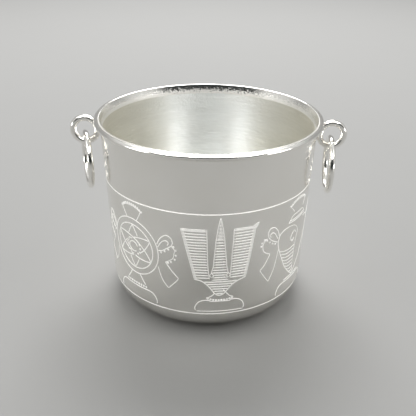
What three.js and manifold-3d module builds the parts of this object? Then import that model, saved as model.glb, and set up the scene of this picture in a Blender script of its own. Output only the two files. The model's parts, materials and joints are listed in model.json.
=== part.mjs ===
// Small silver water pot for worship: a spun cup with a wired rim, two loops soldered under the rim,
// and a loose ring linked through each loop. Millimetres, +Z up, origin at the centre of the base.
import * as THREE from "three";
import { mergeVertices } from "three/addons/utils/BufferGeometryUtils.js";
import Module from "manifold-3d";

// Cup, spun from one disc of sheet
const sheet = 0.8;
const potHeight = 65.2;
const baseRadius = 25.6; // flat that the pot stands on
const bottomCurveHeight = 11.5;
const wallFootRadius = 34.2; // outside, where the bottom curve runs into the wall
const wallTopRadius = 35.95; // outside, where the lip starts to flare
const taperEase = 0.2; // share of the wall over which its taper comes in
const flareHeight = 4.2;
const flareOut = 0.25;
const lipBevelHeight = 3.2; // burnished bevel inside the mouth
const lipLand = 0.12; // flat edge of the sheet at the mouth

// Two turned border lines with the engraved field between them
const upperLineHeight = 45.7;
const lowerLineHeight = 8.7;
const lineWidth = 0.5;
const lineDepth = 0.14;

// Round wire soldered outside the lip
const rimWire = 1.7;
const rimWireBelowLip = 0.05; // from the top of the wire to the top of the sheet

// Loops, rings of round wire that stand out from the wall. Each is soldered on by hand, at its own height.
const loopWire = 2.1;
const loopMeanRadius = 4.1;
const rightLoopBelowRim = 5.9; // from the rim wire's centre to the loop's centre
const leftLoopBelowRim = 5.1;
const loopStandOff = 0.55; // from the wall to the loop's wire, filled with solder

// Solder fillet between loop and wall, an oval drop before it is cut to its neighbours
const filletAlongWall = 2.2;
const filletUpWall = 2.9;
const filletOutward = 1.5;

// Loose rings, each turned a little about the vertical as it hangs
const ringWire = 2.1;
const ringMeanRadius = 9.1;
const rightRingTwist = -4.3; // degrees
const leftRingTwist = 17; // degrees

// Clearances
const seam = 0.15; // a soldered seam
const hangGap = 0.3; // between a hanging ring and the loop that carries it

// Facets
const aroundPot = 96;
const bottomCurveSteps = 8;
const taperSteps = 3;
const aroundRimWire = 10;
const aroundLoop = 28;
const aroundLoopWire = 10;
const aroundRing = 40;
const aroundRingWire = 10;
const aroundFillet = 24;
const downFillet = 16;
const weldDistance = 1e-4; // vertices closer than this are one

const wasm = await Module();
wasm.setup();

const silver = (color, roughness) => new THREE.MeshStandardMaterial({ color, roughness, metalness: 1 });
const polishedSilver = () => silver(0xe6e3dc, 0.08);
const solderSilver = () => silver(0xd2cfc6, 0.25);

const flareStart = potHeight - flareHeight;

// Outside radius of the cup at a height: a quarter ellipse, then a taper that comes in gently, then the
// flared lip.
function cupRadiusAt(height) {
  if (height <= bottomCurveHeight) {
    const fall = 1 - height / bottomCurveHeight;
    return baseRadius + (wallFootRadius - baseRadius) * Math.sqrt(1 - fall * fall);
  }
  if (height <= flareStart) {
    const share = (height - bottomCurveHeight) / (flareStart - bottomCurveHeight);
    const eased = share < taperEase ? (share * share) / (2 * taperEase) : share - taperEase / 2;
    return wallFootRadius + ((wallTopRadius - wallFootRadius) * eased) / (1 - taperEase / 2);
  }
  const share = (height - flareStart) / flareHeight;
  return wallTopRadius + flareOut * share * share;
}

// A turned line: a shallow V pressed into the outside of the sheet.
function borderLine(height) {
  return [
    new THREE.Vector2(cupRadiusAt(height - lineWidth / 2), height - lineWidth / 2),
    new THREE.Vector2(cupRadiusAt(height) - lineDepth, height),
    new THREE.Vector2(cupRadiusAt(height + lineWidth / 2), height + lineWidth / 2),
  ];
}

// The bottom curve from the flat base up to the wall. An inset gives the inside of the sheet.
function bottomCurve(inset) {
  const points = [];
  for (let step = 0; step <= bottomCurveSteps; step += 1) {
    const angle = (step / bottomCurveSteps) * (Math.PI / 2);
    const radius = baseRadius + (wallFootRadius - inset - baseRadius) * Math.sin(angle);
    const height = inset + (bottomCurveHeight - inset) * (1 - Math.cos(angle));
    points.push(new THREE.Vector2(radius, height));
  }
  return points;
}

// The low part of the wall, where the taper comes in. An inset gives the inside of the sheet.
function taperStart(inset) {
  const points = [];
  for (let step = 1; step <= taperSteps; step += 1) {
    const share = (taperEase * step) / taperSteps;
    const height = bottomCurveHeight + (flareStart - bottomCurveHeight) * share;
    points.push(new THREE.Vector2(cupRadiusAt(height) - inset, height));
  }
  return points;
}

// The outside of the sheet from the axis to the lip, with the two lines in their places.
function cupOutside() {
  const plain = [
    ...bottomCurve(0),
    ...taperStart(0),
    new THREE.Vector2(cupRadiusAt(flareStart), flareStart),
    new THREE.Vector2(cupRadiusAt(potHeight - flareHeight / 2), potHeight - flareHeight / 2),
    new THREE.Vector2(cupRadiusAt(potHeight), potHeight),
  ];
  const lines = [lowerLineHeight, upperLineHeight];
  const clearOfLines = plain.filter((point) => lines.every((line) => Math.abs(point.y - line) > lineWidth));
  const points = [...clearOfLines, ...lines.flatMap(borderLine)].sort((a, b) => a.y - b.y);
  return [new THREE.Vector2(0, 0), ...points];
}

// The inside of the sheet from the lip back to the axis.
function cupInside() {
  const bevelFoot = potHeight - lipBevelHeight;
  return [
    new THREE.Vector2(cupRadiusAt(potHeight) - lipLand, potHeight),
    new THREE.Vector2(cupRadiusAt(bevelFoot) - sheet, bevelFoot),
    new THREE.Vector2(cupRadiusAt(flareStart) - sheet, flareStart),
    ...taperStart(sheet).reverse(),
    ...bottomCurve(sheet).reverse(),
    new THREE.Vector2(0, sheet),
  ];
}

// Turns a profile of radius and height about +Z.
function revolve(profile, segments) {
  return new THREE.LatheGeometry(profile, segments).rotateX(Math.PI / 2);
}

function cupGeometry() {
  return revolve([...cupOutside(), ...cupInside()], aroundPot);
}

const rimWireHeight = potHeight - rimWireBelowLip - rimWire / 2;
const rimWireCentreRadius = cupRadiusAt(rimWireHeight) + seam + rimWire / 2;

function rimWireGeometry() {
  const profile = [];
  for (let side = 0; side <= aroundRimWire; side += 1) {
    const angle = (side / aroundRimWire) * 2 * Math.PI;
    profile.push(
      new THREE.Vector2(
        rimWireCentreRadius + (rimWire / 2) * Math.cos(angle),
        rimWireHeight + (rimWire / 2) * Math.sin(angle),
      ),
    );
  }
  return revolve(profile, aroundPot);
}

const loopOuterRadius = loopMeanRadius + loopWire / 2;

// From the pot's axis to the centre of a loop at a height.
function loopCentreOut(height) {
  return cupRadiusAt(height) + loopStandOff + loopOuterRadius;
}

// A loop stands in the plane of the pot's axis, here on the +X side. Extra wire thickness makes a cutter.
function loopGeometry(height, extra = 0) {
  return new THREE.TorusGeometry(loopMeanRadius, loopWire / 2 + extra, aroundLoopWire, aroundLoop)
    .rotateX(Math.PI / 2)
    .translate(loopCentreOut(height), 0, height);
}

// Merged closed geometry as a solid for cutting.
function solidOf(geometry) {
  const bare = geometry.clone();
  bare.deleteAttribute("normal");
  bare.deleteAttribute("uv");
  const merged = mergeVertices(bare, weldDistance);
  return new wasm.Manifold(
    new wasm.Mesh({
      numProp: 3,
      vertProperties: new Float32Array(merged.attributes.position.array),
      triVerts: new Uint32Array(merged.index.array),
    }),
  );
}

function geometryOf(solid) {
  const mesh = solid.getMesh();
  const geometry = new THREE.BufferGeometry();
  geometry.setAttribute("position", new THREE.BufferAttribute(mesh.vertProperties, 3));
  geometry.setIndex(new THREE.BufferAttribute(mesh.triVerts, 1));
  geometry.computeVertexNormals();
  return geometry;
}

// The fillet is a drop of solder, less the wall and the loop with a seam left round each.
function filletGeometry(height) {
  const drop = new THREE.SphereGeometry(1, aroundFillet, downFillet)
    .scale(filletOutward, filletAlongWall, filletUpWall)
    .translate(cupRadiusAt(height), 0, height);
  const wallFoot = height - 2 * filletUpWall;
  const wall = revolve(
    [
      new THREE.Vector2(0, wallFoot),
      new THREE.Vector2(cupRadiusAt(wallFoot) + seam, wallFoot),
      new THREE.Vector2(cupRadiusAt(height) + seam, height),
      new THREE.Vector2(cupRadiusAt(potHeight) + seam, potHeight),
      new THREE.Vector2(0, potHeight),
    ],
    aroundPot,
  );
  return geometryOf(solidOf(drop).subtract(solidOf(wall)).subtract(solidOf(loopGeometry(height, seam))));
}

// A ring's wire rests in the foot of its loop, and the ring hangs across the loop's plane.
const ringDrop = loopMeanRadius - loopWire / 2 - hangGap - ringWire / 2 + ringMeanRadius;

function ringGeometry(loopHeight, twist) {
  return new THREE.TorusGeometry(ringMeanRadius, ringWire / 2, aroundRingWire, aroundRing)
    .rotateY(Math.PI / 2)
    .rotateZ(THREE.MathUtils.degToRad(twist))
    .translate(loopCentreOut(loopHeight), 0, loopHeight - ringDrop);
}

function named(name, geometry, material) {
  const mesh = new THREE.Mesh(geometry, material);
  mesh.name = name;
  return mesh;
}

// One side's loop, solder and ring. The left side is the right side turned half way about the axis.
function handleSide(side, turn, loopBelowRim, ringTwist) {
  const group = new THREE.Group();
  const loopHeight = rimWireHeight - loopBelowRim;
  group.add(named(`${side}_loop`, loopGeometry(loopHeight), polishedSilver()));
  group.add(named(`${side}_loop_solder`, filletGeometry(loopHeight), solderSilver()));
  group.add(named(`${side}_ring`, ringGeometry(loopHeight, ringTwist), polishedSilver()));
  group.rotation.z = turn;
  return group;
}

const waterPot = new THREE.Group();
waterPot.add(named("pot_body", cupGeometry(), polishedSilver()));
waterPot.add(named("rim_wire", rimWireGeometry(), polishedSilver()));
waterPot.add(handleSide("right", 0, rightLoopBelowRim, rightRingTwist));
waterPot.add(handleSide("left", Math.PI, leftLoopBelowRim, leftRingTwist));

export default waterPot;
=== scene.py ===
"""Small silver water pot for worship: fine surfaces, engraving, finishes and studio round the packed model.

Laid out as an add-on, with one operator for each piece or group of like pieces. Lengths are in metres, and in
millimetres where an emblem is drawn on the unrolled wall.
"""

import json
import math

import bpy
import numpy as np
from bpy.props import FloatProperty, FloatVectorProperty, IntProperty, PointerProperty
from mathutils import Matrix, Vector


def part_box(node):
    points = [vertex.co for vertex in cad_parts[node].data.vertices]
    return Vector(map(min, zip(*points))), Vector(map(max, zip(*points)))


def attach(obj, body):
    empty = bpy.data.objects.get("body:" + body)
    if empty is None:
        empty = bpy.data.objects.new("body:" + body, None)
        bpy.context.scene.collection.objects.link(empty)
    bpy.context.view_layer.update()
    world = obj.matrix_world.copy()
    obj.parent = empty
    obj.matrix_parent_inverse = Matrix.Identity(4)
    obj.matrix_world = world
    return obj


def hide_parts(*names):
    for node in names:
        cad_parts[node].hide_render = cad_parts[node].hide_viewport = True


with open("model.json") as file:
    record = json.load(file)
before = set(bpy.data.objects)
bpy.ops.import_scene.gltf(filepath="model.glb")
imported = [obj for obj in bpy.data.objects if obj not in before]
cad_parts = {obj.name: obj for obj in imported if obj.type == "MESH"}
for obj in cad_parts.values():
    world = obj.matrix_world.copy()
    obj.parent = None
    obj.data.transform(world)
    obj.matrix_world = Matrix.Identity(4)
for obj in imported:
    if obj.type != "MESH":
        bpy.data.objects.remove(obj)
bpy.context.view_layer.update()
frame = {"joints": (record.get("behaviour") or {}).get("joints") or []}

bl_info = {
    "name": "Silver water pot",
    "version": (1, 0, 0),
    "blender": (4, 5, 0),
    "location": "3D View > Sidebar > Water Pot",
    "description": "Builds a spun silver pot with engraved emblems, side loops and hanging rings",
    "category": "Object",
}

MM = 0.001
TURN = 2 * math.pi
HINGES = {joint["name"]: joint for joint in frame["joints"]}
SIDES = {"right": 1, "left": -1}

# Rows of points along the cup's profile
FLAT_ROWS, CURVE_ROWS, LINE_ROWS, WALL_ROWS, FLARE_ROWS = 5, 44, 13, 34, 16
LIP_ROWS, BEVEL_ROWS, INSIDE_WALL_ROWS, INSIDE_CURVE_ROWS, INSIDE_FLAT_ROWS = 9, 22, 26, 30, 8
LINE_REACH = 0.75  # how far on each side of a border line its rows go, as a part of its width
LINE_FORM = 1.3  # power of a border line's depth: 1 is a sharp V
BEVEL_FORM = 1.15  # power of the bevel's slope: 1 is a straight bevel

ACROSS_WIRE = 28
AROUND_LOOP, AROUND_RING = 112, 160
PAD_ROWS, PAD_COLUMNS = 18, 40

# Engraving
UNROLLED_RADIUS = 35 * MM  # of the circle on which the front is drawn flat
UNDER = 0.00006  # how far engraved pieces reach below the face of the sheet
CUT_HALF, CUT_CREST = 0.56, 0.40  # from the middle to the foot and crest of a burr, as parts of the width
CUT_END = 0.35  # part of the width that an open cut keeps at its ends
CIRCLE_POINTS = 22.5  # on an engraved circle, for each millimetre of its radius
BEAD_SIDES = 12
BEAD_REACH = np.array([1.1, 1.0, 0.75, 0.4])  # radii of a bead's rows, as parts of its radius
BEAD_RISE = (0.44, 0.84)  # heights of its two upper rows, as parts of its rise


# Settings


def length(name, description, default):
    """A length property in metres."""
    return FloatProperty(name=name, description=description, default=default, min=0, unit="LENGTH", precision=5)


def share(name, description, default):
    """A property from 0 to 1."""
    return FloatProperty(name=name, description=description, default=default, min=0, max=1, subtype="FACTOR")


def colour(name, description, default):
    """A colour property."""
    return FloatVectorProperty(name=name, description=description, default=default, min=0, max=1, subtype="COLOR")


def angle(name, description, default):
    """An angle property in radians."""
    return FloatProperty(name=name, description=description, default=default, subtype="ANGLE", unit="ROTATION")


def power(name, description, default):
    """A lamp's power property in watts."""
    return FloatProperty(name=name, description=description, default=default, min=0, unit="POWER")


class CupSettings(bpy.types.PropertyGroup):
    """Sizes of the spun cup."""

    height: length("Height", "Top of the sheet above the base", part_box("pot_body")[1].z)
    sheet: length("Sheet", "Thickness of the spun sheet", 0.0008)
    base_radius: length("Base radius", "Flat that the pot stands on", 0.0256)
    curve_height: length("Bottom curve", "Height of the bottom curve", 0.0115)
    foot_radius: length("Foot radius", "Outside radius where the bottom curve meets the wall", 0.0342)
    top_radius: length("Top radius", "Outside radius where the lip starts to flare", 0.03595)
    ease: share("Ease", "Part of the wall over which its taper sets in", 0.2)
    flare_height: length("Flare height", "Height of the flared lip", 0.0042)
    flare_out: length("Flare", "How far the lip flares outwards", 0.00025)
    bevel_height: length("Bevel height", "Height of the burnished bevel inside the mouth", 0.0032)
    lip_land: length("Lip land", "Edge left on the sheet at the mouth", 0.00012)
    upper_line: length("Upper line", "Height of the upper border line", 0.0457)
    lower_line: length("Lower line", "Height of the lower border line", 0.0087)
    line_width: length("Line width", "Width of a turned border line", 0.0005)
    line_depth: length("Line depth", "Depth of a turned border line", 0.00014)
    around: IntProperty(name="Around", description="Faces round the cup", default=360, min=48, max=720)


class WireSettings(bpy.types.PropertyGroup):
    """Sizes of the rim wire, the loops and the hanging rings."""

    rim_wire: length("Rim wire", "Diameter of the rim wire", 0.0017)
    rim_drop: length("Rim drop", "From the top of the sheet down to the top of the rim wire", 0.00005)
    rim_seam: length("Rim seam", "Solder between the sheet and the rim wire", 0.00015)
    loop_wire: length("Loop wire", "Diameter of the loops' wire", 0.0021)
    loop_radius: length("Loop radius", "Radius of a loop along the middle of its wire", 0.0041)
    ring_wire: length("Ring wire", "Diameter of the hanging rings' wire", 0.0021)
    ring_radius: length("Ring radius", "Radius of a ring along the middle of its wire", 0.0091)
    hang_gap: length("Hang gap", "Play between a ring and its loop", 0.0003)
    right_twist: angle("Right twist", "Turn of the right ring about the vertical", math.radians(-4.3))
    left_twist: angle("Left twist", "Turn of the left ring about the vertical", math.radians(17))
    pad_along: length("Pad along", "Half width of a loop's solder along the wall", 0.0024)
    pad_up: length("Pad up", "Half height of a loop's solder on the wall", 0.0033)
    pad_out: length("Pad out", "How far a loop's solder rises from the wall", 0.0016)


class EngravingSettings(bpy.types.PropertyGroup):
    """Sizes of the engraved cuts."""

    outline: length("Outline", "Width of an outline cut", 0.00039)
    fine: length("Fine", "Width of a fine cut", 0.00031)
    hatch: length("Hatch", "Width of a cut in the hatched bands", 0.0005)
    hair: length("Hair", "Width of the finest cuts", 0.00026)
    pitch: length("Pitch", "Distance between the cuts of a hatched band", 0.001)
    burr: length("Burr", "Height of the edges that a cut throws up", 0.00006)
    floor: length("Cut floor", "Height of the middle of a cut", 0.000008)
    bead: length("Bead", "Radius of a punched bead", 0.00038)
    bead_rise: length("Bead rise", "Height of a punched bead", 0.00009)


class FinishSettings(bpy.types.PropertyGroup):
    """Colours and finishes."""

    silver: colour("Silver", "Colour of polished silver", (0.93, 0.915, 0.88))
    silver_shade: colour("Silver shade", "Colour where the polish has dulled", (0.86, 0.84, 0.79))
    cut_silver: colour("Cut silver", "Colour of freshly cut silver", (0.95, 0.94, 0.91))
    # The satin's middle colour is its own silver, with a greenish tint that is painted light.
    painted_cool_light_satin: colour("Satin with painted cool light", "Colour of the satin in the middle: its own silver tinted by painted greenish light", (0.94, 0.958, 0.938))
    # The warm colour at the satin's sides is a painted warm reflection.
    painted_warm_reflection: colour("Painted warm reflection", "Colour of the satin at the sides, a painted warm reflection", (0.885, 0.85, 0.73))
    polish: share("Polish", "Roughness of the mirror polish", 0.06)
    haze: share("Haze", "Roughness inside fine scratches", 0.2)
    burnish: share("Burnish", "Roughness of the bevel in the mouth", 0.14)
    satin: share("Satin", "Roughness inside the cup", 0.46)
    satin_pull: share("Satin pull", "How much the turning marks pull the gloss", 0.98)
    frost: share("Frost", "Part of the satin that scatters like frost, low down", 0.08)
    frost_high: share("Frost high", "The same part near the mouth", 0.26)
    cut_frost: share("Cut frost", "Part of a fresh cut that scatters like frost", 0.72)
    worn_frost: share("Worn frost", "The same part in the middle of the front, worn by polishing", 0.36)
    cut: share("Cut", "Roughness of engraved cuts", 0.66)
    solder: share("Solder", "Roughness of the solder", 0.2)


class StudioSettings(bpy.types.PropertyGroup):
    """Camera, floor and light."""

    floor: colour("Floor", "Colour of the floor", (0.52, 0.516, 0.508))
    ceiling: colour("Ceiling", "Colour of the room overhead", (0.72, 0.73, 0.72))
    dim_ceiling: colour("Dim ceiling", "Colour of the room above the dark side", (0.48, 0.485, 0.48))
    dim_wall: colour("Dim wall", "Colour of the room behind the camera", (0.02, 0.024, 0.023))
    side_wall: colour("Side wall", "Colour of the room at the sides", (0.66, 0.66, 0.65))
    back_wall: colour("Back wall", "Colour of the room behind the pot", (0.36, 0.36, 0.355))
    backdrop: colour("Backdrop", "Colour of the room at the level of the floor", (0.34, 0.34, 0.335))
    key_power: power("Key power", "Power of each front lamp", 3.5)
    wing_power: power("Wing power", "Power of each lamp beside a front lamp", 0.7)
    strip_power: power("Strip power", "Power of the thin front lamp", 0.62)
    fill_power: power("Fill power", "Power of the wide front lamp", 3.4)
    side_power: power("Side power", "Power of each low side lamp", 1.4)
    top_power: power("Top power", "Power of the high lamp behind", 6.6)
    lens: FloatProperty(name="Lens", description="Focal length in millimetres", default=51.31, min=1)
    camera: FloatVectorProperty(
        name="Camera", description="Place of the camera", default=(0, -0.190, 0.12683), subtype="TRANSLATION",
    )
    pitch: angle("Pitch", "Downward tilt of the camera", 0.4716)
    yaw: angle("Yaw", "Turn of the camera to the right", 0.0006)
    roll: angle("Roll", "Roll of the camera", 0.0134)


# Surfaces


def quads(rows, columns, wrap_rows=False):
    """Faces of a grid of points numbered row by row, closed round each row: each joins a point, the next in its
    row and the two of the next row."""
    row, column = np.meshgrid(np.arange(rows if wrap_rows else rows - 1), np.arange(columns), indexing="ij")
    here, above = row * columns, (row + 1) % rows * columns
    following = (column + 1) % columns
    return np.stack([here + column, here + following, above + following, above + column], -1).reshape(-1, 4)


def fan(pole, first, columns, flipped=False):
    """Triangles that join a pole to a row of points, turned over where flipped. Pole and first point are
    numbers, or columns of numbers for many fans at once."""
    column = np.arange(columns)
    row = [first + column, first + (column + 1) % columns]
    return np.stack([pole + 0 * column, *(row[::-1] if flipped else row)], -1).reshape(-1, 3)


def turned(profile, columns):
    """Points of a profile of radius and height carried round the vertical, one row for each profile point."""
    around = np.arange(columns) / columns * TURN
    radius, height = profile[:, :1], profile[:, 1:]
    return np.stack([radius * np.cos(around), radius * np.sin(around), height + 0 * around], -1).reshape(-1, 3)


def wire_ring(mean_radius, wire, around):
    """A torus about the vertical: a circle of the wire's radius carried round a circle of the mean radius."""
    across = np.arange(ACROSS_WIRE) / ACROSS_WIRE * TURN
    profile = np.stack([mean_radius + wire / 2 * np.cos(across), wire / 2 * np.sin(across)], -1)
    return turned(profile, around), quads(ACROSS_WIRE, around, wrap_rows=True)


def run_along(line):
    """Distance from a line's start to each of its points."""
    return np.concatenate([[0], np.cumsum(np.linalg.norm(np.diff(line, axis=0), axis=1))])


def points_at(line, along):
    """Points of a line at the given distances from its start."""
    run = run_along(line)
    return np.stack([np.interp(along, run, line[:, axis]) for axis in (0, 1)], -1)


def make_piece(name, points, faces, finishes, body="pot", face_finishes=None, uv=None):
    """A smooth mesh from points and lists of faces, with the named finishes, riding on a body."""
    mesh = bpy.data.meshes.new(name)
    mesh.from_pydata(points.tolist(), [], [face for block in faces for face in block.tolist()])
    for finish in finishes:
        mesh.materials.append(material(finish))
    mesh.shade_smooth()
    if face_finishes is not None:
        mesh.polygons.foreach_set("material_index", face_finishes.astype(np.int32))
    if uv is not None:
        mesh.uv_layers.new(name="surface").data.foreach_set("uv", uv.astype(np.float32).ravel())
    mesh.validate()
    piece = bpy.data.objects.new(name, mesh)
    bpy.context.scene.collection.objects.link(piece)
    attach(piece, body)
    return piece


def cup_radius(cup, height):
    """Outside radius of the cup: a quarter ellipse, then a taper that sets in gently, then a flare that grows
    with the square of the height."""
    height = np.asarray(height, float)
    fall = np.clip(1 - height / cup.curve_height, 0, 1)
    curve = cup.base_radius + (cup.foot_radius - cup.base_radius) * np.sqrt(1 - fall**2)
    flare_start = cup.height - cup.flare_height
    up = np.clip((height - cup.curve_height) / (flare_start - cup.curve_height), 0, 1)
    eased = np.where(up < cup.ease, up**2 / (2 * cup.ease), up - cup.ease / 2) / (1 - cup.ease / 2)
    wall = cup.foot_radius + (cup.top_radius - cup.foot_radius) * eased
    flare = cup.flare_out * np.clip((height - flare_start) / cup.flare_height, 0, None) ** 2
    return np.where(height < cup.curve_height, curve, wall + flare)


def quarter_curve(cup, inset, rows):
    """The bottom curve: a quarter ellipse from the flat up to the wall, inset for the inside of the sheet."""
    climb = np.linspace(0, math.pi / 2, rows)
    radius = cup.base_radius + (cup.foot_radius - inset - cup.base_radius) * np.sin(climb)
    return np.stack([radius, inset + (cup.curve_height - inset) * (1 - np.cos(climb))], -1)


def from_lines(cup, heights):
    """Distance of each height from the nearer border line."""
    return np.minimum(abs(heights - cup.upper_line), abs(heights - cup.lower_line))


def outside_profile(cup):
    """The outside from the flat to the lip. Each border line takes off a shallow rounded V."""
    line_span = np.linspace(-LINE_REACH, LINE_REACH, LINE_ROWS) * cup.line_width
    flare_start = cup.height - cup.flare_height
    heights = np.unique(np.round(np.concatenate([
        quarter_curve(cup, 0, CURVE_ROWS)[:, 1],
        np.linspace(cup.curve_height, flare_start, WALL_ROWS),
        np.linspace(flare_start, cup.height - cup.lip_land, FLARE_ROWS),
        cup.upper_line + line_span,
        cup.lower_line + line_span,
    ]), 7))
    depth = cup.line_depth * np.clip(1 - from_lines(cup, heights) / (cup.line_width / 2), 0, 1) ** LINE_FORM
    return np.stack([cup_radius(cup, heights) - depth, heights], -1)


def lip_profile(cup):
    """The lip, a half round of the land's width, then the burnished bevel, which steepens a little downwards."""
    outer = float(cup_radius(cup, cup.height))
    half = cup.lip_land / 2
    over = np.linspace(0, math.pi, LIP_ROWS)
    top = np.stack([outer - half + half * np.cos(over), cup.height - half + half * np.sin(over)], -1)
    down = np.linspace(0, 1, BEVEL_ROWS)[1:]
    foot = cup.height - cup.bevel_height
    start, end = top[-1], np.array([float(cup_radius(cup, foot)) - cup.sheet, foot])
    radius = end[0] + (start[0] - end[0]) * (1 - down) ** BEVEL_FORM
    return np.concatenate([top, np.stack([radius, start[1] + (end[1] - start[1]) * down], -1)])


def inside_profile(cup):
    """The inside from the bevel's foot down the wall and the bottom curve to the flat."""
    heights = np.linspace(cup.height - cup.bevel_height, cup.curve_height, INSIDE_WALL_ROWS)[1:-1]
    wall = np.stack([cup_radius(cup, heights) - cup.sheet, heights], -1)
    return np.concatenate([wall, quarter_curve(cup, cup.sheet, INSIDE_CURVE_ROWS)[::-1]])


# Strokes in the unrolled wall, as rows of distance across and height in millimetres


def straight(points, step=0.6):
    """Evenly spaced points along straight lines through the given points, which are kept."""
    points = np.asarray(points, float)
    run = run_along(points)
    count = max(3, int(run[-1] / step) + 2)
    return points_at(points, np.union1d(np.linspace(0, run[-1], count), run))


def curved(points, step=0.35):
    """Evenly spaced points on a smooth line through the given points: between two of them it is the cubic
    whose slope at each is half the way from the point before to the point after."""
    points = np.asarray(points, float)
    p = np.concatenate([2 * points[:1] - points[1:2], points, 2 * points[-1:] - points[-2:-1]])
    t = np.linspace(0, 1, 24, endpoint=False)[None, :, None]
    a, b, c, d = (p[k : len(p) - 3 + k, None, :] for k in range(4))
    line = 0.5 * (2 * b + (c - a) * t + (2 * a - 5 * b + 4 * c - d) * t**2 + (3 * b - a - 3 * c + d) * t**3)
    line = np.concatenate([line.reshape(-1, 2), points[-1:]])
    run = run_along(line)[-1]
    return points_at(line, np.linspace(0, run, max(4, int(run / step) + 2)))


def circle(centre, radius):
    """Points on a circle."""
    around = np.radians(np.linspace(0, 360, int(CIRCLE_POINTS * radius), endpoint=False))
    return np.stack([centre[0] + radius * np.cos(around), centre[1] + radius * np.sin(around)], -1)


def mirrored(stroke, middle):
    """A stroke turned over about an upright line."""
    return np.asarray(stroke, float) * [-1, 1] + [2 * middle, 0]


class Carving:
    """The cuts and beads of one emblem on the wall, each a closed surface, gathered for one piece."""

    def __init__(self, scene):
        self.cup, self.tools = scene.water_pot_cup, scene.water_pot_engraving
        self.points, self.faces, self.count = [], [], 0

    def add(self, points, faces):
        """Takes in one part's points and lists of faces."""
        self.points.append(points)
        self.faces += [block + self.count for block in faces]
        self.count += len(points)

    def on_wall(self, across, height, lift):
        """Points on the wall: the distance across is an arc of the unrolled circle from the front, positive to
        the right, and the lift stands off the sheet."""
        around = across / UNROLLED_RADIUS
        radius = cup_radius(self.cup, height) + lift
        return np.stack([radius * np.sin(around), -radius * np.cos(around), height + 0 * radius], -1)

    def cut(self, width, line, closed=False):
        """One engraved cut: a low trough with a raised burr along each edge, carried along a line on the wall
        and closed under the sheet. An open cut narrows and sinks at its ends."""
        line = line * MM
        if closed:
            ahead = np.roll(line, -1, axis=0) - np.roll(line, 1, axis=0)
        else:
            ahead = np.gradient(line, axis=0)
        ahead /= np.linalg.norm(ahead, axis=1)[:, None]
        left = np.stack([-ahead[:, 1], ahead[:, 0]], -1)
        run = run_along(line)
        near_end = np.minimum(run, run[-1] - run) / width
        kept = np.ones((len(line), 1)) if closed else np.clip(CUT_END + near_end, 0, 1)[:, None]
        burr = self.tools.burr
        across = np.array([CUT_HALF, CUT_CREST, 0, -CUT_CREST, -CUT_HALF, 0]) * width
        lift = np.array([-UNDER, burr, self.tools.floor, burr, -UNDER, -UNDER])
        place = line[:, None, :] + left[:, None, :] * (across * kept)[:, :, None]
        points = self.on_wall(place[..., 0], place[..., 1], lift * np.where(lift > 0, kept, 1)).reshape(-1, 3)
        faces = [quads(len(line), len(across), wrap_rows=closed)]
        if not closed:
            end = np.arange(len(across))
            faces.append(np.stack([end[::-1], end + (len(line) - 1) * len(across)]))
        self.add(points, faces)

    def lines(self, width, *strokes):
        """Cuts along straight lines through points."""
        for stroke in strokes:
            self.cut(width, straight(stroke))

    def curves(self, width, *strokes):
        """Cuts along smooth lines through points."""
        for stroke in strokes:
            self.cut(width, curved(stroke))

    def curves_both_sides(self, width, middle, *strokes):
        """Smooth cuts, and the same turned over about an upright line."""
        for stroke in strokes:
            self.curves(width, stroke)
            self.cut(width, mirrored(curved(stroke), middle))

    def hatch(self, width, heights, left, right):
        """Level cuts at the given heights between a left and a right edge, both sorted upwards."""
        left, right = np.asarray(left, float), np.asarray(right, float)
        for height in heights:
            ends = [(np.interp(height, edge[:, 1], edge[:, 0]), height) for edge in (left, right)]
            self.cut(width, straight(ends, step=1.0))

    def beads(self, centres, radius=None):
        """Low domes on the wall: the lift falls with the square of the distance from the centre. All the beads
        are one array of centre by row by side."""
        centres = np.asarray(centres, float) * MM
        radius = radius or self.tools.bead
        rise = self.tools.bead_rise
        side = np.arange(BEAD_SIDES) / BEAD_SIDES * TURN
        lift = np.array([-UNDER, 0, *(part * rise for part in BEAD_RISE)])
        across = centres[:, None, None, 0] + radius * BEAD_REACH[:, None] * np.cos(side)
        height = centres[:, None, None, 1] + radius * BEAD_REACH[:, None] * np.sin(side)
        rows = self.on_wall(across, height, lift[:, None] + 0 * across)
        poles = [self.on_wall(centres[:, 0], centres[:, 1], pole_lift) for pole_lift in (rise, -UNDER)]
        count, each = len(centres), len(lift) * BEAD_SIDES
        first = np.arange(count)[:, None] * each
        top = count * each + np.arange(count)[:, None]
        self.add(np.concatenate([rows.reshape(-1, 3), *poles]), [
            (quads(len(lift), BEAD_SIDES) + first[:, :, None]).reshape(-1, 4),
            fan(top, first + each - BEAD_SIDES, BEAD_SIDES),
            fan(top + count, first, BEAD_SIDES, flipped=True),
        ])

    def beads_both_sides(self, middle, centres, radius=None):
        """Beads, and the same turned over about an upright line."""
        self.beads(centres, radius)
        self.beads(mirrored(centres, middle), radius)

    def crest(self, edge, drop, step):
        """A fan's upper edge: a fine cut, and a row of beads above it."""
        self.cut(self.tools.fine, curved(edge) - [0, drop])
        self.beads(curved(edge, step) + [0, 0.15], 0.0004)

    def mound(self, middle, half, foot=9.6, top=14.1):
        """The low mound that an emblem stands on: each half runs from the base line round the end to the flat
        top."""
        side = np.array([(half, foot), (half + 0.25, top - 3.1), (half - 0.2, top - 1.7), (half - 1.3, top - 0.5),
                         (half - 2.9, top), (3.2, top)])
        for turn in (1, -1):
            self.curves(self.tools.outline, side * [turn, 1] + [middle, 0])


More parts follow.
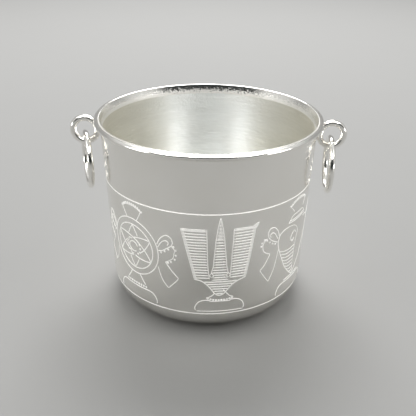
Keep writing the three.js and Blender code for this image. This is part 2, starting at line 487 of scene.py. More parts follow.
def draw_discus(wall):
    """The discus: two rings, three pointed ovals crossed at about 60 degrees, a small curl with dots, a beaded
    fan above, a bow and ribbon at each side and a beaded foot on a mound."""
    middle = -26.2
    centre = np.array([middle, 28.9])
    wide, fine = wall.tools.outline, wall.tools.fine
    for radius in (10.2, 8.1):
        wall.cut(wide, circle(centre, radius), closed=True)
    along = np.linspace(-1, 1, 44)
    oval_half_width = 2.95
    for turn, half, clear in ((90, 7.9, 4.6), (29, 8.3, 3.3), (-28, 8.3, 3.3)):
        c, s = math.cos(math.radians(turn)), math.sin(math.radians(turn))
        for side in (1, -1):
            flat = np.stack([half * along, side * oval_half_width * (1 - along**2)], -1)
            edge = flat @ np.array([[c, s], [-s, c]]) + centre
            outer = np.linalg.norm(flat, axis=1) > clear
            lies_on_top = turn < 0 and side > 0
            for piece in [edge] if lies_on_top else [edge[outer & (along < 0)], edge[outer & (along > 0)]]:
                wall.cut(wide, piece)
    wall.curves(wide, [(-24.4, 29.2), (-25.1, 30.2), (-26.5, 30.6), (-27.9, 29.9), (-28.3, 28.6), (-27.5, 27.4),
                       (-26.2, 27.0), (-25.0, 27.4)])
    sweep = np.radians(np.linspace(100, 265, 60))
    reach = (3.0 + 0.28 * np.sin(9 * sweep))[:, None]
    wall.cut(fine, centre + reach * np.stack([np.cos(sweep), np.sin(sweep)], -1))
    wall.beads([(-28.9, 27.0), (-23.4, 30.2), (-23.3, 28.7), (-23.5, 27.3), (-24.4, 26.6)], 0.0004)
    fan_side = straight([(-24.0, 38.9), (-22.0, 42.5)])
    wall.cut(wide, fan_side)
    wall.cut(wide, mirrored(fan_side, middle))
    wall.curves_both_sides(
        wide, middle,
        [(-16.4, 32.9), (-15.2, 35.2), (-13.2, 36.9), (-11.5, 36.3), (-10.9, 34.6), (-11.4, 33.3)],
        [(-16.1, 31.9), (-14.6, 34.2), (-13.2, 35.0), (-12.3, 34.4), (-12.7, 33.2)],
        [(-11.4, 33.3), (-12.8, 32.3), (-14.3, 31.2), (-15.9, 30.7)],
        [(-13.5, 27.2), (-12.0, 24.9), (-10.4, 23.0), (-9.2, 21.7)],
        [(-24.4, 19.0), (-23.3, 17.3), (-21.9, 15.3)],
    )
    wall.curves_both_sides(
        fine, middle,
        [(-11.3, 33.4), (-10.3, 32.1), (-10.5, 30.6), (-10.9, 29.0), (-12.2, 27.8), (-13.4, 27.2)],
        [(-9.2, 21.7), (-9.9, 20.5), (-11.2, 19.0), (-12.7, 17.3)],
        [(-16.2, 24.6), (-15.5, 21.8), (-14.4, 19.3), (-12.7, 17.3)],
    )
    bow = [(-10.6, 33.2), (-9.9, 32.0), (-9.9, 30.2), (-10.3, 28.6), (-11.6, 27.5), (-12.6, 26.9), (-12.3, 32.0),
           (-13.6, 31.0), (-14.9, 30.3)]
    wall.beads_both_sides(middle, bow)
    top = [(-30.6, 42.4), (-28.8, 43.7), (-26.2, 44.2), (-23.6, 43.8), (-21.6, 42.6)]
    wall.crest(top, 0.3, 0.96)
    wall.beads(straight([(-30.7, 14.6), (-21.7, 14.6)], 1.15), 0.00042)
    wall.mound(middle, 8.7, top=13.6)
    wall.lines(wide, [(-32.5, 13.6), (-19.9, 13.6)])


def draw_forehead_mark(wall):
    """The forehead mark: two wide hatched bands and a narrow one that comes to a point, on a hatched cup with
    feet, over a row of beads and a mound."""
    tools = wall.tools
    wide, fine, hatch, hair, pitch = tools.outline, tools.fine, tools.hatch, tools.hair, tools.pitch / MM
    left_band = ([(-4.1, 22.2), (-8.3, 40.4)], [(0.9, 22.2), (0.3, 28.0), (-0.1, 40.4)])
    right_band = ([(12.9, 22.2), (14.0, 29.0), (15.4, 40.4)], [(7.4, 22.2), (7.7, 30.0), (8.1, 40.4)])
    for (outer, inner), inward in ((left_band, 1), (right_band, -1)):
        left, right = (outer, inner)[::inward]
        wall.hatch(hatch, np.arange(22.7, 39.9, pitch), left, right)
        for step in (0.1, 0.45, 0.8):
            wall.lines(hair, np.array(outer) + [inward * step, 0])
        wall.lines(fine, np.array(inner) - [inward * 0.1, 0])
        wall.hatch(hair, [40.4, 40.05], left, right)
    tip = (16.3, 41.5)
    wall.lines(wide, [(14.2, 40.4), tip], [(14.8, 40.0), tip], [(15.3, 39.4), tip])
    left = [(1.3, 24.3), (2.0, 27.0), (2.7, 37.0), (3.2, 41.0), (3.9, 44.4)]
    right = [(6.9, 24.3), (6.3, 27.0), (5.3, 37.0), (4.7, 41.0), (4.0, 44.4)]
    wall.hatch(hatch, np.arange(24.7, 36.8, pitch), left, right)
    wall.hatch(hatch, [22.0, 22.9, 23.8], [(1.4, 21.5), (2.2, 24.2)], [(7.2, 21.5), (6.1, 24.2)])
    wall.hatch(hair, np.arange(37, 44.0, 0.5), left, right)
    wall.lines(fine, left, right)
    bowl = [(-4.1, 22.2), (-1.6, 21.5), (0.2, 20.0), (1.6, 18.2), (2.8, 16.6), (4.2, 16.0), (5.6, 16.6), (6.9, 18.2),
            (8.4, 20.0), (10.3, 21.2), (12.9, 22.2)]
    lowest = 5
    wall.curves(wide, bowl)
    wall.hatch(hatch, [16.7, 17.6, 18.5, 19.4, 20.3, 21.2], bowl[lowest::-1], bowl[lowest:])
    for x in (1.5, 6.9):
        wall.lines(fine, [(x, 22.9), (x - 0.75, 23.7), (x, 24.6), (x + 0.75, 23.7), (x, 22.9)])
    wall.curves(
        wide,
        [(2.6, 17.0), (1.9, 16.0), (0.7, 15.3), (-0.2, 15.1)],
        [(5.4, 18.2), (6.6, 16.7), (7.6, 15.6), (8.9, 15.1)],
    )
    wall.beads([(0.4, 14.8), (1.3, 14.5), (2.2, 14.3), (3.1, 14.2), (4.0, 14.1), (4.9, 14.2), (5.8, 14.2),
                (6.7, 14.3), (7.6, 14.5), (8.4, 14.8)])
    wall.mound(4.4, 8.0, foot=9.9)
    wall.lines(fine, [(-3.4, 9.75), (12.3, 9.75)], [(0.8, 13.7), (8.0, 13.7)])


def draw_conch(wall):
    """The conch: a swelling body that narrows to its tail, ribbed on one half and smooth on the lip, with a
    curl at its mouth, a banded neck, a beaded fan, a bow and ribbon at each side and a mound."""
    middle = 35.0
    wide, fine, hair = wall.tools.outline, wall.tools.fine, wall.tools.hair
    outline = [(35.2, 14.8), (33.2, 16.1), (31.0, 18.4), (29.2, 20.7), (27.4, 24.3), (25.9, 27.4), (25.0, 30.0),
               (24.9, 32.2), (25.6, 34.0), (27.6, 35.0), (30.4, 35.3)]
    wall.curves(wide, outline)
    wall.curves(
        hair,
        mirrored(outline, middle),
        [(30.4, 35.3), (33.0, 34.6), (35.0, 33.2), (36.0, 31.2), (35.4, 28.6), (34.9, 24.0), (34.9, 19.5),
         (35.1, 15.4)],
    )
    wall.curves(wide, [(34.9, 31.3), (33.8, 32.3), (32.4, 31.9), (31.6, 30.6), (32.0, 29.2), (33.2, 28.9),
                       (33.7, 29.9)])
    wall.beads([(32.4, 29.1), (32.9, 28.8)], 0.0004)
    edge = np.array(outline[:8])
    for height in np.arange(17.4, 27.6, 1.42):
        start = np.interp(height, edge[:, 1], edge[:, 0])
        wall.curves(fine, [(start, height), (0.6 * start + 0.4 * middle, height - 1.0), (middle, height - 1.0)])
    wall.curves_both_sides(
        wide, middle,
        [(24.9, 33.6), (24.3, 35.7), (22.6, 37.6), (20.9, 37.7), (20.1, 36.4), (20.3, 34.8)],
        [(24.4, 32.9), (23.0, 35.2), (21.8, 35.9), (21.0, 35.2), (21.4, 34.3)],
        [(20.3, 34.8), (21.6, 33.3), (23.0, 32.4), (24.6, 31.6)],
        [(19.9, 34.4), (18.5, 33.0), (18.4, 31.4), (18.9, 29.9), (20.3, 28.8), (21.6, 28.2)],
        [(21.6, 28.2), (20.4, 25.9), (19.3, 24.2), (18.0, 22.9)],
    )
    wall.curves_both_sides(
        fine, middle,
        [(18.0, 22.9), (19.1, 21.2), (20.4, 19.3), (21.9, 17.4)],
        [(25.2, 28.6), (24.6, 25.0), (23.7, 21.3), (21.9, 17.4)],
    )
    bow = [(18.9, 34.2), (17.9, 33.2), (17.7, 32.0), (19.9, 33.6), (21.0, 32.7), (22.2, 31.9), (23.4, 31.3)]
    wall.beads_both_sides(middle, bow, 0.00034)
    neck = ((36.5, 5.8), (37.2, 5.3), (38.9, 3.5))
    wall.lines(fine, *([(middle - half, height), (middle + half, height)] for height, half in neck))
    wall.lines(fine, *([(middle + end * 5.8, 36.5), (middle + end * 3.5, 38.9)] for end in (-1, 1)))
    top = [(29.4, 42.6), (31.0, 43.5), (32.8, 44.0), (34.6, 44.2), (36.4, 44.0), (38.0, 43.5), (39.6, 42.6)]
    wall.crest(top, 0.35, 0.98)
    wall.curves(fine, [(31.9, 40.0), (31.2, 41.0), (29.6, 42.4)], [(38.0, 40.0), (38.6, 41.0), (39.4, 42.4)])
    wall.mound(middle, 8.7, top=13.5)
    wall.lines(wide, [(31.8, 13.5), (38.2, 13.5)])
    wall.beads(straight([(30.4, 14.4), (39.6, 14.4)], 0.94), 0.0004)


# Finishes


def full(colour_value):
    """A colour with its fourth number."""
    return (*colour_value, 1)


class Nodes:
    """Short calls that put nodes into a tree."""

    def __init__(self, tree):
        self.tree = tree

    def feed(self, socket, value):
        """Sets a socket to a value, or links another node's output to it."""
        if isinstance(value, bpy.types.NodeSocket):
            self.tree.links.new(value, socket)
        else:
            socket.default_value = value

    def put(self, kind, sockets=None, **settings):
        """A node with its settings and what is fed to its sockets."""
        node = self.tree.nodes.new("ShaderNode" + kind)
        for key, value in settings.items():
            setattr(node, key, value)
        for key, value in (sockets or {}).items():
            self.feed(node.inputs[key], value)
        return node

    def group(self, name, build, sockets):
        """The outputs of a node group, which is built the first time that it is asked for."""
        return self.put("Group", sockets, node_tree=bpy.data.node_groups.get(name) or build(name)).outputs

    def noise(self, vector, scale, detail, roughness=0.5, **settings):
        """A noise of 0 to 1."""
        sockets = {"Vector": vector, "Scale": scale, "Detail": detail, "Roughness": roughness}
        return self.put("TexNoise", sockets, **settings).outputs["Fac"]

    def carry(self, value, source=(0, 1), target=(0, 1)):
        """A value carried from one range to another and held at the ends."""
        return self.put("MapRange", {
            "Value": value, "From Min": source[0], "From Max": source[1], "To Min": target[0], "To Max": target[1],
        }).outputs[0]

    def math(self, operation, *values, kind="Math"):
        """The result of an operation."""
        return self.put(kind, dict(enumerate(values)), operation=operation).outputs[0]

    def mix(self, factor, first, second):
        """A colour between two."""
        return self.put("Mix", {"Factor": factor, 6: first, 7: second}, data_type="RGBA").outputs[2]

    def part(self, vector, axis):
        """One number of a vector."""
        return self.put("SeparateXYZ", {"Vector": vector}).outputs[axis]

    def bump(self, height, distance, strength=1.0):
        """A surface direction bent by a height."""
        return self.put("Bump", {"Height": height, "Distance": distance, "Strength": strength}).outputs[0]


class Finish(Nodes):
    """A new material, with the object coordinates that its marks read."""

    def __init__(self, name):
        item = bpy.data.materials.new(name)
        item.use_nodes = True
        super().__init__(item.node_tree)
        self.where = self.put("TexCoord").outputs["Object"]

    def tone(self, silver, shade, cloud, scale=60.0):
        """A silver's colour, clouded towards a shade."""
        return self.group("Silver tone", build_silver_tone, {
            "Vector": self.where, "Silver": full(silver), "Shade": full(shade), "Cloud Amount": cloud,
            "Cloud Scale": scale})[0]

    def aside(self):
        """Distance from the pot's middle plane."""
        return self.math("ABSOLUTE", self.part(self.where, "X"))

    def shade(self, sockets):
        """Feeds the shader's sockets."""
        for key, value in sockets.items():
            self.feed(self.tree.nodes["Principled BSDF"].inputs[key], value)


def new_group(name, inputs, outputs):
    """A shader node group. Inputs are given with their defaults, a number, a colour, or None for a vector, and
    outputs with their kinds."""
    tree = bpy.data.node_groups.new(name, "ShaderNodeTree")
    for label, default in inputs.items():
        kind = "Vector" if default is None else "Color" if isinstance(default, tuple) else "Float"
        socket = tree.interface.new_socket(name=label, in_out="INPUT", socket_type="NodeSocket" + kind)
        if default is not None:
            socket.default_value = default
    for label, kind in outputs.items():
        tree.interface.new_socket(name=label, in_out="OUTPUT", socket_type="NodeSocket" + kind)
    return Nodes(tree), tree.nodes.new("NodeGroupInput").outputs, tree.nodes.new("NodeGroupOutput").inputs


def build_handling_marks(name):
    """Fine scratches at three angles over a soft waviness. Puts out where the scratches are and a height."""
    nodes, source, result = new_group(
        name,
        {"Vector": None, "Scratch Scale": 900.0, "Scratch Cover": 0.3, "Wave Scale": 90.0},
        {"Scratches": "Float", "Wave Height": "Float"},
    )
    threshold = nodes.math("SUBTRACT", 0.72, source["Scratch Cover"])
    upper = nodes.math("ADD", threshold, 0.12)
    scratches = None
    for turn in ((0.3, 0.2, 0.5), (1.3, 0.9, 2.2), (2.4, 1.9, 0.9)):
        mapping = nodes.put("Mapping", {"Vector": source["Vector"], "Rotation": turn, "Scale": (1, 0.09, 0.09)})
        noise = nodes.noise(mapping.outputs[0], source["Scratch Scale"], detail=3.0, roughness=0.6)
        mask = nodes.carry(noise, (threshold, upper))
        scratches = mask if scratches is None else nodes.math("MAXIMUM", scratches, mask)
    nodes.feed(result["Scratches"], scratches)
    nodes.feed(result["Wave Height"], nodes.noise(source["Vector"], source["Wave Scale"], detail=1.0, roughness=0.4))
    return nodes.tree


def build_silver_tone(name):
    """The silver's colour, cloudy towards a duller shade."""
    nodes, source, result = new_group(
        name,
        {"Vector": None, "Silver": (0.93, 0.91, 0.88, 1), "Shade": (0.86, 0.84, 0.79, 1), "Cloud Scale": 60.0,
         "Cloud Amount": 0.5},
        {"Color": "Color"},
    )
    noise = nodes.noise(source["Vector"], source["Cloud Scale"], detail=4.0, roughness=0.55)
    cloud = nodes.carry(noise, (0.42, 0.7), (0, source["Cloud Amount"]))
    nodes.feed(result["Color"], nodes.mix(cloud, source["Silver"], source["Shade"]))
    return nodes.tree


def build_turning_marks(name):
    """Rings that a turning tool leaves: noise that runs on round the piece and changes quickly along its
    profile, over wider waves. Reads the piece's own UV map, round the piece first and along the profile
    second."""
    nodes, source, result = new_group(
        name,
        {"Vector": None, "Run": 0.02, "Wander": 9.0, "Wander Run": 0.3},
        {"Height": "Float", "Streaks": "Float"},
    )
    parts = nodes.put("SeparateXYZ", {"Vector": source["Vector"]}).outputs
    drawn_out, wavy = (
        nodes.put("CombineXYZ", {"X": nodes.math("MULTIPLY", parts[0], source[run]), "Y": parts[1]}).outputs[0]
        for run in ("Run", "Wander Run")
    )
    fine = nodes.noise(drawn_out, scale=2600.0, detail=3.0, roughness=0.7, noise_dimensions="2D")
    broad = nodes.noise(drawn_out, scale=1100.0, detail=3.0, roughness=0.6, noise_dimensions="2D")
    waves = nodes.noise(wavy, scale=1000.0, detail=1.0, noise_dimensions="2D")
    nodes.feed(result["Height"], nodes.math("MULTIPLY_ADD", waves, source["Wander"], fine))
    nodes.feed(result["Streaks"], broad)
    return nodes.tree


def handled_silver(finish, rough, hazed, cloud, scratch_scale, cover, wave, wave_scale):
    """A polish that handling has hazed: the gloss opens inside fine scratches, and the surface rolls slightly."""
    looks = bpy.context.scene.water_pot_finish
    marks = finish.group("Handling marks", build_handling_marks, {
        "Vector": finish.where, "Scratch Scale": scratch_scale, "Scratch Cover": cover, "Wave Scale": wave_scale})
    finish.shade({
        "Base Color": finish.tone(looks.silver, looks.silver_shade, cloud),
        "Metallic": 1,
        "Roughness": finish.carry(marks["Scratches"], target=(rough, hazed)),
        "Normal": finish.bump(marks["Wave Height"], wave),
    })


def mirror_silver(finish, looks):
    """Mirror polish of the cup's outside."""
    handled_silver(finish, looks.polish, looks.haze, cloud=0.5, scratch_scale=4000.0, cover=0.3, wave=0.00001,
                   wave_scale=70.0)


def wire_silver(finish, looks):
    """Mirror polish of the wires, with marks at their smaller scale."""
    handled_silver(finish, looks.polish, looks.haze, cloud=0.5, scratch_scale=4000.0, cover=0.24, wave=0.000003,
                   wave_scale=260.0)


def solder_silver(finish, looks):
    """Solder: softer polish than the wire, with small dimples."""
    handled_silver(finish, looks.solder, looks.solder + 0.2, cloud=0.8, scratch_scale=1400.0, cover=0.34,
                   wave=0.00012, wave_scale=700.0)


def burnished_silver(finish, looks):
    """The bevel in the mouth: rubbed bright over its turning marks, most at the top, with small hollows left."""
    cup = bpy.context.scene.water_pot_cup
    foot = cup.height - cup.bevel_height
    rubbed_height = 0.0028
    hollows = finish.noise(finish.where, scale=2200.0, detail=3.0, roughness=0.7)
    rubbed = finish.carry(finish.part(finish.where, "Z"), (foot, foot + rubbed_height), (-0.22, 0.14))
    patchy = finish.math("ADD", hollows, rubbed)
    finish.shade({
        "Base Color": finish.tone(looks.silver, looks.silver_shade, cloud=0.35),
        "Metallic": 1,
        "Roughness": finish.carry(patchy, (0.42, 0.5), (looks.satin, looks.burnish)),
        "Normal": finish.bump(hollows, distance=0.00004),
    })


def satin_silver(finish, looks):
    """Inside of the cup: turned satin, whose gloss is pulled out across the turning marks. Near the mouth it is
    coarser and mottled and darker by painted shade, and at the bottom its marks are shallow. Its colour has a painted
    greenish light in the middle and a painted warm reflection at the sides."""
    surface = finish.put("UVMap", uv_map="surface").outputs[0]
    marks = finish.group("Turning marks", build_turning_marks, {"Vector": surface})
    height = finish.part(finish.where, "Z")
    spread = 0.16  # of the roughness, between marks and towards the mouth
    streaks = finish.carry(marks["Streaks"], (0.3, 0.7), (looks.satin - spread, looks.satin + spread))
    coarser = finish.carry(height, (0.028, 0.054), (0, spread))
    mottled = finish.carry(height, (0.0535, 0.0605), (0, 17.0))
    mottle = finish.noise(finish.where, scale=1000.0, detail=2.0, roughness=0.6)
    rugged = finish.math("MULTIPLY_ADD", mottle, mottled, marks["Height"])
    depth = finish.carry(height, (0.002, 0.030), (0.12, 0.7))
    # Painted shade: the base colour darkens towards the mouth.
    painted_mouth_shade = finish.carry(height, (0.042, 0.056), (1.0, 0.86))
    # Painted reflection: the colour turns warm towards the sides of the inside.
    warm_reflection_share = finish.carry(finish.aside(), (0.013, 0.035))
    # In the middle the colour is tinted greenish as painted light.
    painted_cool_light_tone = finish.tone(looks.painted_cool_light_satin, looks.silver_shade, cloud=0.35)
    tone = finish.mix(warm_reflection_share, painted_cool_light_tone, full(looks.painted_warm_reflection))
    finish.shade({
        "Base Color": finish.math("MULTIPLY", tone, painted_mouth_shade, kind="VectorMath"),
        "Metallic": finish.carry(height, (0.045, 0.053), (1 - looks.frost, 1 - looks.frost_high)),
        "Roughness": finish.math("ADD", streaks, coarser),
        "Normal": finish.bump(rugged, 0.00002, depth),
        "Tangent": finish.put("Tangent", direction_type="UV_MAP", uv_map="surface").outputs[0],
        "Anisotropic": looks.satin_pull,
        "Anisotropic Rotation": 0.25,
    })


def cut_silver(finish, looks, frost_left=1.0):
    """Freshly cut silver: bright, matt and finely grained, and worn in the middle of the front. A share below 1
    is for cuts with less frost."""
    grain = finish.noise(finish.where, scale=5200.0, detail=2.0)
    worn, fresh = 1 - frost_left * looks.worn_frost, 1 - frost_left * looks.cut_frost
    finish.shade({
        "Base Color": finish.tone(looks.cut_silver, looks.silver, cloud=0.6, scale=400.0),
        "Metallic": finish.carry(finish.aside(), (0.011, 0.022), (worn, fresh)),
        "Roughness": finish.carry(grain, (0.3, 0.7), (looks.cut - 0.08, looks.cut + 0.08)),
        "Normal": finish.bump(grain, 0.00003, strength=0.8),
    })


def line_silver(finish, looks):
    """The turned border lines: cut silver with less frost."""
    cut_silver(finish, looks, frost_left=0.6)


def pale_floor(finish, looks):
    """Plain pale board with a faint mottle."""
    pale = bpy.context.scene.water_pot_studio.floor
    mottle = finish.noise(finish.where, scale=30.0, detail=4.0)
    darker = [0.985 * value for value in pale]
    finish.shade({
        "Base Color": finish.mix(mottle, full(pale), full(darker)), "Roughness": 0.85, "Specular IOR Level": 0.2})


FINISHES = {
    "Mirror silver": mirror_silver,
    "Wire silver": wire_silver,
    "Solder silver": solder_silver,
    "Burnished silver": burnished_silver,
    "Satin silver": satin_silver,
    "Cut silver": cut_silver,
    "Line silver": line_silver,
    "Pale floor": pale_floor,
}


def material(name):
    """The material of that name, built the first time that it is asked for."""
    if name not in bpy.data.materials:
        FINISHES[name](Finish(name), bpy.context.scene.water_pot_finish)
    return bpy.data.materials[name]


# Operators


class WATERPOT_OT_cup(bpy.types.Operator):
    """Spin the cup: one closed shell from the flat base up the wall, over the lip and down the inside"""

    bl_idname = "waterpot.cup"
    bl_label = "Cup"

    def execute(self, context):
        cup = context.scene.water_pot_cup
        outside, lip, inside = outside_profile(cup), lip_profile(cup), inside_profile(cup)
        flat = np.linspace(0.2, 1, FLAT_ROWS)[:-1, None] * [cup.base_radius, 0]
        flat_inside = np.linspace(1, 0.1, INSIDE_FLAT_ROWS)[1:, None] * [cup.base_radius, 0] + [0, cup.sheet]
        profile = np.concatenate([flat, outside, lip[1:], inside, flat_inside])
        rows, columns = len(profile), cup.around
        points = np.concatenate([turned(profile, columns), [[0, 0, 0], [0, 0, cup.sheet]]])
        faces = [
            quads(rows, columns),
            fan(rows * columns, 0, columns, flipped=True),
            fan(rows * columns + 1, (rows - 1) * columns, columns),
        ]

        run = run_along(profile)
        round_step = TURN * cup.foot_radius / columns
        row, column = np.divmod(np.arange((rows - 1) * columns), columns)
        grid_uv = [((column + a) * round_step, run[row + b]) for a, b in ((0, 0), (1, 0), (1, 1), (0, 1))]
        side = np.arange(columns)
        low_pole, high_pole = -profile[0, 0], run[-1] + profile[-1, 0]
        low_uv = [((side + a) * round_step, v + 0 * side) for a, v in ((0.5, low_pole), (1, 0), (0, 0))]
        high_uv = [((side + a) * round_step, v + 0 * side) for a, v in ((0.5, high_pole), (0, run[-1]), (1, run[-1]))]
        uv = np.concatenate([
            np.stack([np.stack(corner, -1) for corner in corners], 1).reshape(-1, 2)
            for corners in (grid_uv, low_uv, high_uv)
        ])

        finishes = ["Mirror silver", "Satin silver", "Line silver", "Burnished silver"]
        mirror, satin, line, burnished = range(len(finishes))
        lip_start = len(flat) + len(outside) - 1
        inside_start = lip_start + len(lip) - 1
        kind = np.full(rows - 1, mirror)
        kind[lip_start + LIP_ROWS - 1 : inside_start] = burnished
        kind[inside_start:] = satin
        heights = (profile[:-1, 1] + profile[1:, 1])[:lip_start] / 2
        kind[:lip_start][from_lines(cup, heights) < cup.line_width / 2] = line
        face_finishes = np.repeat([*kind, mirror, satin], columns)
        piece = make_piece(
            "cup_shell", points, faces, finishes, face_finishes=face_finishes, uv=uv,
        )
        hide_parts("pot_body")
        return {"FINISHED"}


class WATERPOT_OT_rim(bpy.types.Operator):
    """Lay the rim wire round the lip, with solder drawn into the seam above and below it"""

    bl_idname = "waterpot.rim"
    bl_label = "Rim wire"

    def execute(self, context):
        cup, wires = context.scene.water_pot_cup, context.scene.water_pot_wires
        half = wires.rim_wire / 2
        height = cup.height - wires.rim_drop - half
        middle = float(cup_radius(cup, height)) + wires.rim_seam + half
        points, faces = wire_ring(middle, wires.rim_wire, cup.around)
        piece = make_piece("rim_bead", points + [0, 0, height], [faces], ["Wire silver"])
        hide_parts("rim_wire")

        low_start, high_start = height - 1.15 * half, cup.height - 0.00005
        into_wall = 0.00003
        bend = np.linspace(0, 1, 7)[:, None]
        edges = []
        for degrees, start in ((222, low_start), (128, high_start)):
            on_wire = math.radians(degrees)
            wire_point = np.array([middle + half * math.cos(on_wire), height + half * math.sin(on_wire)])
            wall_point = np.array([float(cup_radius(cup, start)) - into_wall, start])
            corner = np.array([float(cup_radius(cup, height)), (wire_point[1] + height) / 2])
            edges.append(wall_point * (1 - bend) ** 2 + 2 * corner * bend * (1 - bend) + wire_point * bend**2)
        profile = np.concatenate([edges[0], edges[1][::-1]])
        faces = quads(len(profile), cup.around, wrap_rows=True)
        make_piece("rim_seam", turned(profile, cup.around), [faces], ["Solder silver"])
        return {"FINISHED"}


class WATERPOT_OT_loops(bpy.types.Operator):
    """Stand a loop out from the wall on each side, in a drawn-up pad of solder"""

    bl_idname = "waterpot.loops"
    bl_label = "Loops"

    def execute(self, context):
        cup, wires = context.scene.water_pot_cup, context.scene.water_pot_wires
        under_pad, under_edge, under_face = 0.0002, 0.0001, 0.00002
        for side, sign in SIDES.items():
            centre = np.array(HINGES[side + "_ring_lift"]["pos_m"])
            points, faces = wire_ring(wires.loop_radius, wires.loop_wire, AROUND_LOOP)
            upright = np.stack([points[:, 0], -points[:, 2], points[:, 1]], -1)
            loop = make_piece(side + "_loop_wire", upright + centre, [faces], ["Wire silver"])
            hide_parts(side + "_loop")

            reach = np.linspace(1.06, 0.06, PAD_ROWS)[:, None]
            around = np.arange(PAD_COLUMNS) / PAD_COLUMNS * TURN
            height = centre[2] + wires.pad_up * reach * np.sin(around)
            rise = wires.pad_out * np.clip(1 - reach**1.3, 0, 1) ** 1.8 - under_edge * np.clip(20 * (reach - 1), 0, 1)
            radius = sign * (cup_radius(cup, height) + rise - under_face)
            turn = wires.pad_along * reach * np.cos(around) / cup.top_radius
            surface = np.stack([radius * np.cos(turn), radius * np.sin(turn), height], -1).reshape(-1, 3)
            wall = float(cup_radius(cup, centre[2]))
            poles = [[sign * (wall + out), 0, centre[2]] for out in (wires.pad_out, -under_pad)]
            top_pole = PAD_ROWS * PAD_COLUMNS
            pad = make_piece(side + "_loop_pad", np.concatenate([surface, poles]), [
                quads(PAD_ROWS, PAD_COLUMNS),
                fan(top_pole, top_pole - PAD_COLUMNS, PAD_COLUMNS),
                fan(top_pole + 1, 0, PAD_COLUMNS, flipped=True),
            ], ["Solder silver"])
            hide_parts(side + "_loop_solder")
        return {"FINISHED"}


class WATERPOT_OT_rings(bpy.types.Operator):
    """Hang a loose ring in each loop, turned a little about the vertical"""

    bl_idname = "waterpot.rings"
    bl_label = "Rings"

    def execute(self, context):
        wires = context.scene.water_pot_wires
        drop = wires.loop_radius - wires.loop_wire / 2 - wires.hang_gap - wires.ring_wire / 2 + wires.ring_radius
        for side, twist in (("right", wires.right_twist), ("left", wires.left_twist)):
            points, faces = wire_ring(wires.ring_radius, wires.ring_wire, AROUND_RING)
            standing = np.stack([points[:, 2], points[:, 1], -points[:, 0]], -1)
            c, s = math.cos(twist), math.sin(twist)
            twisted = standing @ np.array([[c, s, 0], [-s, c, 0], [0, 0, 1]])
            centre = np.array(HINGES[side + "_ring_lift"]["pos_m"]) - [0, 0, drop]
            ring = make_piece(side + "_ring_wire", twisted + centre, [faces], ["Wire silver"],
                              side + "_hanging_ring")
            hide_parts(side + "_ring")
        return {"FINISHED"}


class WATERPOT_OT_engraving(bpy.types.Operator):
    """Engrave the discus, the forehead mark and the conch on the front"""

    bl_idname = "waterpot.engraving"
    bl_label = "Engraving"

    def execute(self, context):
        for name, draw in (
            ("discus_engraving", draw_discus),
            ("forehead_mark_engraving", draw_forehead_mark),
            ("conch_engraving", draw_conch),
        ):
            wall = Carving(context.scene)
            draw(wall)
            make_piece(name, np.concatenate(wall.points), wall.faces, ["Cut silver"])
        return {"FINISHED"}


# Lamps round the pot: place, width, height and the setting that holds the power
FRONT_LAMPS = {
    "left_key": ((-0.515, -0.485, 0.76), 0.3, 0.26, "key_power"),
    "right_key": ((0.515, -0.485, 0.76), 0.3, 0.26, "key_power"),
    "left_wing": ((-0.66, -0.27, 0.74), 0.56, 0.24, "wing_power"),
    "right_wing": ((0.66, -0.27, 0.74), 0.56, 0.24, "wing_power"),
    "front_strip": ((-0.195, -0.68, 0.76), 0.1, 0.26, "strip_power"),
    "front_fill": ((0, -0.60, 0.86), 1.2, 0.36, "fill_power"),
    "left_side": ((-0.85, -0.35, 0.07), 0.4, 0.1, "side_power"),
    "right_side": ((0.85, -0.35, 0.07), 0.4, 0.1, "side_power"),
}
TOP_LAMP = {"top_box": ((0, 0.62, 0.86), 0.6, 0.6, "top_power")}
LIT_POINT = Vector((0, 0, 0.04))


def area_lamp(name, place, width, height, setting):
    """A soft box at a place, facing the pot."""
    scene = bpy.context.scene
    lamp = bpy.data.lights.new(name, "AREA")
    lamp.shape, lamp.size, lamp.size_y = "RECTANGLE", width, height
    lamp.energy = getattr(scene.water_pot_studio, setting)
    holder = bpy.data.objects.new(name, lamp)
    scene.collection.objects.link(holder)
    holder.location = place
    holder.rotation_euler = (LIT_POINT - Vector(place)).to_track_quat("-Z", "Y").to_euler()
    return holder


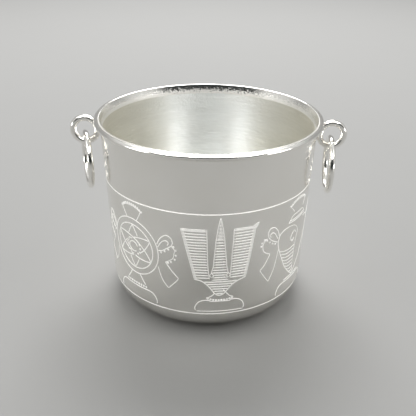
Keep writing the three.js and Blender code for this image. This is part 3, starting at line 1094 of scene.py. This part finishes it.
class WATERPOT_OT_studio(bpy.types.Operator):
    """Set the camera at the photo's angle, the pale floor and the soft light"""

    bl_idname = "waterpot.studio"
    bl_label = "Studio"

    def execute(self, context):
        scene = context.scene
        self.set_camera(scene)
        self.light(self.lay_floor(scene))
        self.build_room(scene)
        scene.view_settings.view_transform = "Standard"
        return {"FINISHED"}

    def set_camera(self, scene):
        """The camera at its place, turned by yaw, pitch and roll."""
        studio = scene.water_pot_studio
        lens = bpy.data.cameras.new("camera")
        lens.lens, lens.sensor_width = studio.lens, 36
        lens.clip_start, lens.clip_end = 0.01, 50
        scene.camera = bpy.data.objects.new("camera", lens)
        scene.collection.objects.link(scene.camera)
        scene.camera.matrix_world = (
            Matrix.Translation(studio.camera)
            @ Matrix.Rotation(-studio.yaw, 4, "Z")
            @ Matrix.Rotation(math.pi / 2 - studio.pitch, 4, "X")
            @ Matrix.Rotation(studio.roll, 4, "Z")
        )

    def lay_floor(self, scene):
        """A wide square just under the base."""
        half_width, below = 8, 0.00003
        corners = [(x * half_width, y * half_width, -below) for x, y in ((-1, -1), (1, -1), (1, 1), (-1, 1))]
        mesh = bpy.data.meshes.new("floor")
        mesh.from_pydata(corners, [], [(0, 1, 2, 3)])
        mesh.materials.append(material("Pale floor"))
        floor = bpy.data.objects.new("floor", mesh)
        scene.collection.objects.link(floor)
        return floor

    def light(self, floor):
        """The lamps. Those in front light the pot and not the floor."""
        kept = bpy.data.collections.new("kept from the front lamps")
        kept.objects.link(floor)
        kept.collection_objects[0].light_linking.link_state = "EXCLUDE"
        for name, values in FRONT_LAMPS.items():
            area_lamp(name, *values).light_linking.receiver_collection = kept
        for name, values in TOP_LAMP.items():
            area_lamp(name, *values)

    def build_room(self, scene):
        """The world: a room with a wall at the sides, one behind the pot and a dark one behind the camera, which
        reaches further round low down. Each wall runs from the backdrop up to its ceiling."""
        studio = scene.water_pot_studio
        scene.world = bpy.data.worlds.new("room")
        scene.world.use_nodes = True
        nodes = Nodes(scene.world.node_tree)
        direction = nodes.put("TexCoord").outputs["Generated"]
        up = nodes.part(direction, "Z")
        level = nodes.math("MULTIPLY", direction, (1, 1, 0), kind="VectorMath")
        ahead = nodes.part(nodes.math("NORMALIZE", level, kind="VectorMath"), "Y")
        wider = nodes.carry(up, (0.45, 0.1), (0, -0.14))
        in_front = nodes.carry(nodes.math("ADD", ahead, wider), (-0.52, -0.66))
        behind = nodes.carry(ahead, (0.1, 0.5))
        tones = []
        for wall, top, ceiling in (
            (studio.side_wall, 0.5, studio.ceiling),
            (studio.back_wall, 0.5, studio.ceiling),
            (studio.dim_wall, 0.70, studio.dim_ceiling),
        ):
            ramp = nodes.put("ValToRGB", {"Fac": up})
            stops = ((0.02, studio.backdrop), (0.05, wall), (top, wall), (top + 0.12, ceiling))
            while len(ramp.color_ramp.elements) < len(stops):
                ramp.color_ramp.elements.new(0.5)
            for element, (position, tint) in zip(ramp.color_ramp.elements, stops):
                element.position, element.color = position, full(tint)
            tones.append(ramp.outputs["Color"])
        sides, back, front = tones
        room = nodes.mix(in_front, nodes.mix(behind, sides, back), front)
        nodes.feed(nodes.tree.nodes["Background"].inputs["Color"], room)


class WATERPOT_PT_panel(bpy.types.Panel):
    """The pot's settings and build steps"""

    bl_idname = "WATERPOT_PT_panel"
    bl_label = "Water Pot"
    bl_space_type = "VIEW_3D"
    bl_region_type = "UI"
    bl_category = "Water Pot"

    def draw(self, context):
        for key, group in SETTINGS.items():
            box = self.layout.box()
            box.label(text=group.__doc__.rstrip("."))
            for name in group.__annotations__:
                box.prop(getattr(context.scene, key), name)
        for step in STEPS:
            self.layout.operator(step.bl_idname)


SETTINGS = {
    "water_pot_cup": CupSettings,
    "water_pot_wires": WireSettings,
    "water_pot_engraving": EngravingSettings,
    "water_pot_finish": FinishSettings,
    "water_pot_studio": StudioSettings,
}
STEPS = (
    WATERPOT_OT_studio,
    WATERPOT_OT_cup,
    WATERPOT_OT_rim,
    WATERPOT_OT_loops,
    WATERPOT_OT_rings,
    WATERPOT_OT_engraving,
)
CLASSES = (*SETTINGS.values(), *STEPS, WATERPOT_PT_panel)


def register():
    for item in CLASSES:
        bpy.utils.register_class(item)
    for key, group in SETTINGS.items():
        setattr(bpy.types.Scene, key, PointerProperty(type=group))


def unregister():
    for key in SETTINGS:
        delattr(bpy.types.Scene, key)
    for item in reversed(CLASSES):
        bpy.utils.unregister_class(item)


def main():
    """Registers the classes and builds the pieces in order."""
    register()
    bpy.ops.waterpot.studio()
    bpy.ops.waterpot.cup()
    bpy.ops.waterpot.rim()
    bpy.ops.waterpot.loops()
    bpy.ops.waterpot.rings()
    bpy.ops.waterpot.engraving()


if __name__ == "__main__":
    main()
